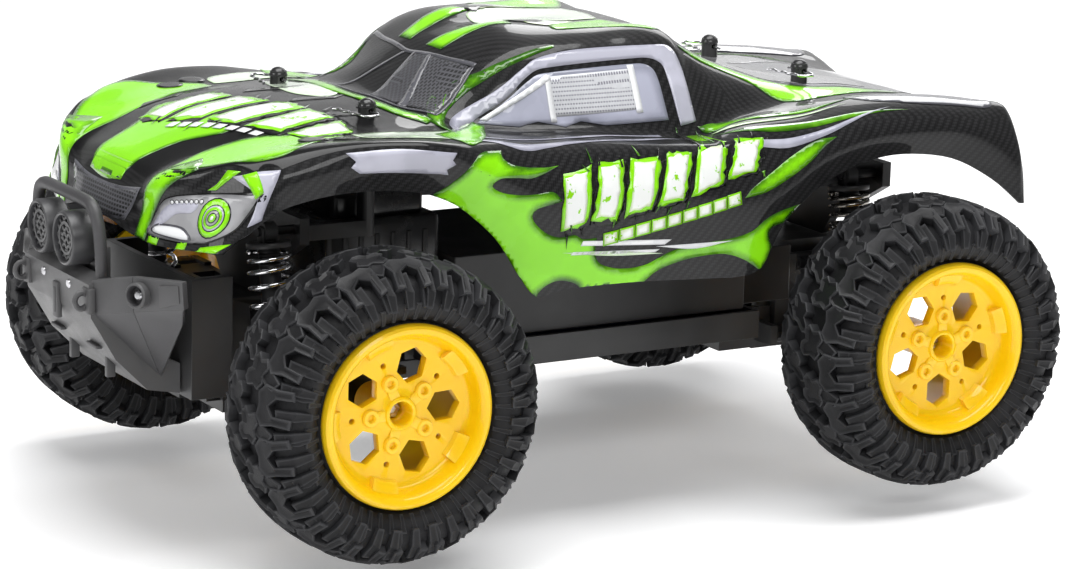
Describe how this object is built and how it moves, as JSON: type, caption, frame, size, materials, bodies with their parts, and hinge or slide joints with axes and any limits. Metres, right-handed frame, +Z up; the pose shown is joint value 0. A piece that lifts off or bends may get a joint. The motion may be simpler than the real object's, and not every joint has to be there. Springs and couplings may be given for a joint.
{
  "type": "rc monster truck",
  "caption": "Radio controlled monster truck: painted short-course shell over a sprung chassis with steering, rear drive and big lugged tyres.",
  "frame": {"origin": "on the ground under the middle of the whole truck's bounding box", "axes": "+X forward, +Y the truck's left, +Z up"},
  "size_m": [0.4, 0.259, 0.183],
  "materials": {
    "painted_shell": "clear moulded shell painted inside in green, black and pale grey, glossy",
    "black_plastic": "satin moulded",
    "grey_plastic": "matte moulded",
    "lamp_plastic": "glossy with a lattice face",
    "yellow_rim": "glossy moulded",
    "tyre": "rubber with deep lugs",
    "chrome_wire": "polished",
    "dark_wire": "dark oiled",
    "steel": "turned",
    "white_plastic": "moulded gear plastic",
    "battery_wrap": "shrink sleeve",
    "board": "coated board"
  },
  "bodies": {
    "chassis": {"chassis_tub": "black_plastic", "chassis_cover": "black_plastic", "gearbox_case": "black_plastic", "motor": "steel", "battery_pack": "battery_wrap", "circuit_board": "board", "steering_servo": "black_plastic", "front_shock_tower": "black_plastic", "rear_shock_tower": "black_plastic", "front_bumper": "grey_plastic", "lamp_left": "lamp_plastic", "lamp_right": "lamp_plastic", "body_shell": "painted_shell", "body_clip_front_left": "chrome_wire", "body_clip_front_right": "chrome_wire", "body_clip_rear_left": "chrome_wire", "body_clip_rear_right": "chrome_wire"},
    "lower_arm_front_left": {"lower_arm_front_left": "black_plastic"},
    "upper_arm_front_left": {"upper_arm_front_left": "black_plastic"},
    "hub_carrier_front_left": {"hub_carrier_front_left": "black_plastic"},
    "shock_cylinder_front_left": {"shock_cylinder_front_left": "black_plastic", "shock_spring_front_left": "chrome_wire"},
    "shock_rod_front_left": {"shock_rod_front_left": "steel"},
    "steering_knuckle_left": {"steering_knuckle_left": "black_plastic"},
    "wheel_front_left": {"rim_front_left": "yellow_rim", "tyre_front_left": "tyre"},
    "lower_arm_front_right": {"lower_arm_front_right": "black_plastic"},
    "upper_arm_front_right": {"upper_arm_front_right": "black_plastic"},
    "hub_carrier_front_right": {"hub_carrier_front_right": "black_plastic"},
    "shock_cylinder_front_right": {"shock_cylinder_front_right": "black_plastic", "shock_spring_front_right": "chrome_wire"},
    "shock_rod_front_right": {"shock_rod_front_right": "steel"},
    "steering_knuckle_right": {"steering_knuckle_right": "black_plastic"},
    "wheel_front_right": {"rim_front_right": "yellow_rim", "tyre_front_right": "tyre"},
    "lower_arm_rear_left": {"lower_arm_rear_left": "black_plastic"},
    "upper_arm_rear_left": {"upper_arm_rear_left": "black_plastic"},
    "hub_carrier_rear_left": {"hub_carrier_rear_left": "black_plastic"},
    "shock_cylinder_rear_left": {"shock_cylinder_rear_left": "black_plastic", "shock_spring_rear_left": "dark_wire"},
    "shock_rod_rear_left": {"shock_rod_rear_left": "steel"},
    "drive_shaft_left": {"drive_shaft_left": "steel"},
    "wheel_rear_left": {"rim_rear_left": "yellow_rim", "tyre_rear_left": "tyre", "rear_axle_left": "steel"},
    "lower_arm_rear_right": {"lower_arm_rear_right": "black_plastic"},
    "upper_arm_rear_right": {"upper_arm_rear_right": "black_plastic"},
    "hub_carrier_rear_right": {"hub_carrier_rear_right": "black_plastic"},
    "shock_cylinder_rear_right": {"shock_cylinder_rear_right": "black_plastic", "shock_spring_rear_right": "dark_wire"},
    "shock_rod_rear_right": {"shock_rod_rear_right": "steel"},
    "drive_shaft_right": {"drive_shaft_right": "steel"},
    "wheel_rear_right": {"rim_rear_right": "yellow_rim", "tyre_rear_right": "tyre", "rear_axle_right": "steel"},
    "tie_rod": {"tie_rod": "black_plastic"},
    "servo_horn": {"servo_horn": "black_plastic"},
    "drive_gear": {"drive_gear": "white_plastic"},
    "motor_pinion": {"motor_pinion": "steel"},
    "battery_door": {"battery_door": "black_plastic"}
  },
  "joints": [
    {"name": "suspension_front_left", "type": "hinge", "parent": "chassis", "child": "lower_arm_front_left", "pos_m": [0.109, 0.024, 0.044], "axis": [1, 0, 0], "range_deg": [-8, 10], "stiffness_Nm_per_rad": 2, "springref_deg": -3.15},
    {"name": "upper_arm_pivot_front_left", "type": "hinge", "parent": "chassis", "child": "upper_arm_front_left", "pos_m": [0.109, 0.024, 0.074], "axis": [1, 0, 0], "range_deg": [-8, 10]},
    {"name": "carrier_pivot_front_left", "type": "hinge", "parent": "lower_arm_front_left", "child": "hub_carrier_front_left", "pos_m": [0.109, 0.07, 0.044], "axis": [1, 0, 0], "range_deg": [-10, 8]},
    {"name": "shock_swing_front_left", "type": "hinge", "parent": "chassis", "child": "shock_cylinder_front_left", "pos_m": [0.1285, 0.048, 0.114], "axis": [1, 0, 0], "range_deg": [-0.6, 0.6]},
    {"name": "shock_stroke_front_left", "type": "slide", "parent": "shock_cylinder_front_left", "child": "shock_rod_front_left", "axis": [0, -0.1521, 0.9884], "range_m": [-0.0048, 0.006], "deforming": ["shock_spring_front_left"]},
    {"name": "steering_left", "type": "hinge", "parent": "hub_carrier_front_left", "child": "steering_knuckle_left", "pos_m": [0.109, 0.08, 0.0583], "axis": [0, 0, 1], "range_deg": [-22, 22]},
    {"name": "wheel_spin_front_left", "type": "hinge", "parent": "steering_knuckle_left", "child": "wheel_front_left", "pos_m": [0.109, 0.1, 0.0583], "axis": [0, 1, 0], "continuous": true},
    {"name": "suspension_front_right", "type": "hinge", "parent": "chassis", "child": "lower_arm_front_right", "pos_m": [0.109, -0.024, 0.044], "axis": [-1, 0, 0], "range_deg": [-8, 10], "stiffness_Nm_per_rad": 2, "springref_deg": -3.15},
    {"name": "upper_arm_pivot_front_right", "type": "hinge", "parent": "chassis", "child": "upper_arm_front_right", "pos_m": [0.109, -0.024, 0.074], "axis": [-1, 0, 0], "range_deg": [-8, 10]},
    {"name": "carrier_pivot_front_right", "type": "hinge", "parent": "lower_arm_front_right", "child": "hub_carrier_front_right", "pos_m": [0.109, -0.07, 0.044], "axis": [-1, 0, 0], "range_deg": [-10, 8]},
    {"name": "shock_swing_front_right", "type": "hinge", "parent": "chassis", "child": "shock_cylinder_front_right", "pos_m": [0.1285, -0.048, 0.114], "axis": [-1, 0, 0], "range_deg": [-0.6, 0.6]},
    {"name": "shock_stroke_front_right", "type": "slide", "parent": "shock_cylinder_front_right", "child": "shock_rod_front_right", "axis": [0, 0.1521, 0.9884], "range_m": [-0.0048, 0.006], "deforming": ["shock_spring_front_right"]},
    {"name": "steering_right", "type": "hinge", "parent": "hub_carrier_front_right", "child": "steering_knuckle_right", "pos_m": [0.109, -0.08, 0.0583], "axis": [0, 0, 1], "range_deg": [-22, 22]},
    {"name": "wheel_spin_front_right", "type": "hinge", "parent": "steering_knuckle_right", "child": "wheel_front_right", "pos_m": [0.109, -0.1, 0.0583], "axis": [0, 1, 0], "continuous": true},
    {"name": "suspension_rear_left", "type": "hinge", "parent": "chassis", "child": "lower_arm_rear_left", "pos_m": [-0.135, 0.024, 0.044], "axis": [1, 0, 0], "range_deg": [-8, 10], "stiffness_Nm_per_rad": 2, "springref_deg": -3.15},
    {"name": "upper_arm_pivot_rear_left", "type": "hinge", "parent": "chassis", "child": "upper_arm_rear_left", "pos_m": [-0.135, 0.024, 0.074], "axis": [1, 0, 0], "range_deg": [-8, 10]},
    {"name": "carrier_pivot_rear_left", "type": "hinge", "parent": "lower_arm_rear_left", "child": "hub_carrier_rear_left", "pos_m": [-0.135, 0.07, 0.044], "axis": [1, 0, 0], "range_deg": [-10, 8]},
    {"name": "shock_swing_rear_left", "type": "hinge", "parent": "chassis", "child": "shock_cylinder_rear_left", "pos_m": [-0.135, 0.05, 0.115], "axis": [1, 0, 0], "range_deg": [-1.7, 1.4]},
    {"name": "shock_stroke_rear_left", "type": "slide", "parent": "shock_cylinder_rear_left", "child": "shock_rod_rear_left", "axis": [0, -0.1203, 0.9927], "range_m": [-0.0043, 0.0054], "deforming": ["shock_spring_rear_left"]},
    {"name": "drive_shaft_pivot_left", "type": "hinge", "parent": "chassis", "child": "drive_shaft_left", "pos_m": [-0.135, 0.024, 0.0583], "axis": [1, 0, 0], "range_deg": [-8, 10]},
    {"name": "wheel_spin_rear_left", "type": "hinge", "parent": "hub_carrier_rear_left", "child": "wheel_rear_left", "pos_m": [-0.135, 0.1, 0.0583], "axis": [0, 1, 0], "continuous": true},
    {"name": "suspension_rear_right", "type": "hinge", "parent": "chassis", "child": "lower_arm_rear_right", "pos_m": [-0.135, -0.024, 0.044], "axis": [-1, 0, 0], "range_deg": [-8, 10], "stiffness_Nm_per_rad": 2, "springref_deg": -3.15},
    {"name": "upper_arm_pivot_rear_right", "type": "hinge", "parent": "chassis", "child": "upper_arm_rear_right", "pos_m": [-0.135, -0.024, 0.074], "axis": [-1, 0, 0], "range_deg": [-8, 10]},
    {"name": "carrier_pivot_rear_right", "type": "hinge", "parent": "lower_arm_rear_right", "child": "hub_carrier_rear_right", "pos_m": [-0.135, -0.07, 0.044], "axis": [-1, 0, 0], "range_deg": [-10, 8]},
    {"name": "shock_swing_rear_right", "type": "hinge", "parent": "chassis", "child": "shock_cylinder_rear_right", "pos_m": [-0.135, -0.05, 0.115], "axis": [-1, 0, 0], "range_deg": [-1.7, 1.4]},
    {"name": "shock_stroke_rear_right", "type": "slide", "parent": "shock_cylinder_rear_right", "child": "shock_rod_rear_right", "axis": [0, 0.1203, 0.9927], "range_m": [-0.0043, 0.0054], "deforming": ["shock_spring_rear_right"]},
    {"name": "drive_shaft_pivot_right", "type": "hinge", "parent": "chassis", "child": "drive_shaft_right", "pos_m": [-0.135, -0.024, 0.0583], "axis": [-1, 0, 0], "range_deg": [-8, 10]},
    {"name": "wheel_spin_rear_right", "type": "hinge", "parent": "hub_carrier_rear_right", "child": "wheel_rear_right", "pos_m": [-0.135, -0.1, 0.0583], "axis": [0, 1, 0], "continuous": true},
    {"name": "tie_rod_slide", "type": "slide", "parent": "chassis", "child": "tie_rod", "axis": [0, 1, 0], "range_m": [-0.0078, 0.0078]},
    {"name": "servo_horn_turn", "type": "hinge", "parent": "chassis", "child": "servo_horn", "pos_m": [0.069, 0, 0.057], "axis": [0, 0, 1], "range_deg": [-22, 22]},
    {"name": "drive_gear_spin", "type": "hinge", "parent": "chassis", "child": "drive_gear", "pos_m": [-0.135, 0.007, 0.0583], "axis": [0, 1, 0], "continuous": true},
    {"name": "motor_pinion_spin", "type": "hinge", "parent": "chassis", "child": "motor_pinion", "pos_m": [-0.112, 0.007, 0.064], "axis": [0, 1, 0], "continuous": true},
    {"name": "battery_door_hinge", "type": "hinge", "parent": "chassis", "child": "battery_door", "pos_m": [-0.025, 0.0168, 0.0496], "axis": [1, 0, 0], "range_deg": [0, 80]}
  ],
  "couplings": [
    {"joint": "upper_arm_pivot_front_left", "follows": "suspension_front_left", "ratio": 1},
    {"joint": "carrier_pivot_front_left", "follows": "suspension_front_left", "ratio": -1},
    {"joint": "shock_swing_front_left", "follows": "suspension_front_left", "ratio": -0.047},
    {"joint": "shock_stroke_front_left", "follows": "suspension_front_left", "m_per_rad": 0.0343},
    {"joint": "upper_arm_pivot_front_right", "follows": "suspension_front_right", "ratio": 1},
    {"joint": "carrier_pivot_front_right", "follows": "suspension_front_right", "ratio": -1},
    {"joint": "shock_swing_front_right", "follows": "suspension_front_right", "ratio": -0.047},
    {"joint": "shock_stroke_front_right", "follows": "suspension_front_right", "m_per_rad": 0.0343},
    {"joint": "upper_arm_pivot_rear_left", "follows": "suspension_rear_left", "ratio": 1},
    {"joint": "carrier_pivot_rear_left", "follows": "suspension_rear_left", "ratio": -1},
    {"joint": "shock_swing_rear_left", "follows": "suspension_rear_left", "ratio": -0.16},
    {"joint": "shock_stroke_rear_left", "follows": "suspension_rear_left", "m_per_rad": 0.0304},
    {"joint": "drive_shaft_pivot_left", "follows": "suspension_rear_left", "ratio": 1},
    {"joint": "upper_arm_pivot_rear_right", "follows": "suspension_rear_right", "ratio": 1},
    {"joint": "carrier_pivot_rear_right", "follows": "suspension_rear_right", "ratio": -1},
    {"joint": "shock_swing_rear_right", "follows": "suspension_rear_right", "ratio": -0.16},
    {"joint": "shock_stroke_rear_right", "follows": "suspension_rear_right", "m_per_rad": 0.0304},
    {"joint": "drive_shaft_pivot_right", "follows": "suspension_rear_right", "ratio": 1},
    {"joint": "steering_right", "follows": "steering_left", "ratio": 1},
    {"joint": "tie_rod_slide", "follows": "steering_left", "m_per_rad": -0.02},
    {"joint": "servo_horn_turn", "follows": "steering_left", "ratio": -1},
    {"joint": "motor_pinion_spin", "follows": "drive_gear_spin", "ratio": -2.6154}
  ]
}
